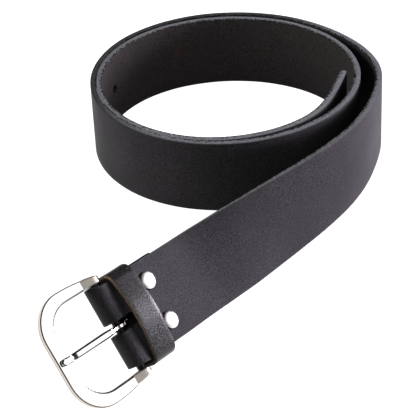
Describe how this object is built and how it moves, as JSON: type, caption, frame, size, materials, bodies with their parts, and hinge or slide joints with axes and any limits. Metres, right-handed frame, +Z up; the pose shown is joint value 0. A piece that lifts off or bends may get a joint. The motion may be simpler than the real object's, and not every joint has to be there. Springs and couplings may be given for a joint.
{
  "type": "leather belt",
  "caption": "Leather strap belt coiled on its edge, with a riveted fold, a metal frame buckle with a swinging prong, and a leather keeper loop.",
  "frame": {"origin": "middle of the footprint of the coiled belt, on the plane it stands on", "axes": "+Z up, across the strap where it stands on its edge; +Y from the buckle end towards the coil, along the longest extent; +X to the right"},
  "size_m": [0.1715, 0.2957, 0.0449],
  "materials": {
    "strap_leather": "satin full grain, cut edges raw",
    "keeper_leather": "satin full grain, cut edges raw",
    "frame_nickel": "polished nickel plate",
    "bar_steel": "drawn wire",
    "prong_nickel": "polished nickel plate",
    "rivet_nickel": "polished nickel plate",
    "staple_steel": "flat wire"
  },
  "bodies": {
    "strap_body": {"strap": "strap_leather", "rivet_post_upper": "rivet_nickel", "rivet_post_lower": "rivet_nickel", "rivet_cap_upper": "rivet_nickel", "rivet_cap_lower": "rivet_nickel"},
    "buckle": {"buckle_frame": "frame_nickel", "hinge_bar": "bar_steel"},
    "prong": {"prong": "prong_nickel"},
    "keeper": {"keeper_loop": "keeper_leather", "keeper_staple": "staple_steel"}
  },
  "joints": [
    {"name": "buckle_swing", "type": "hinge", "parent": "strap_body", "child": "buckle", "pos_m": [-0.052, -0.111, 0.0218], "axis": [-0.4572, 0.4588, 0.7618], "range_deg": [-75, 20]},
    {"name": "prong_swing", "type": "hinge", "parent": "buckle", "child": "prong", "pos_m": [-0.052, -0.111, 0.0218], "axis": [-0.4572, 0.4588, 0.7618], "range_deg": [0, 65]},
    {"name": "keeper_slide", "type": "slide", "parent": "strap_body", "child": "keeper", "axis": [-0.6123, -0.7837, 0.1045], "range_m": [-0.003, 0.0005]}
  ]
}
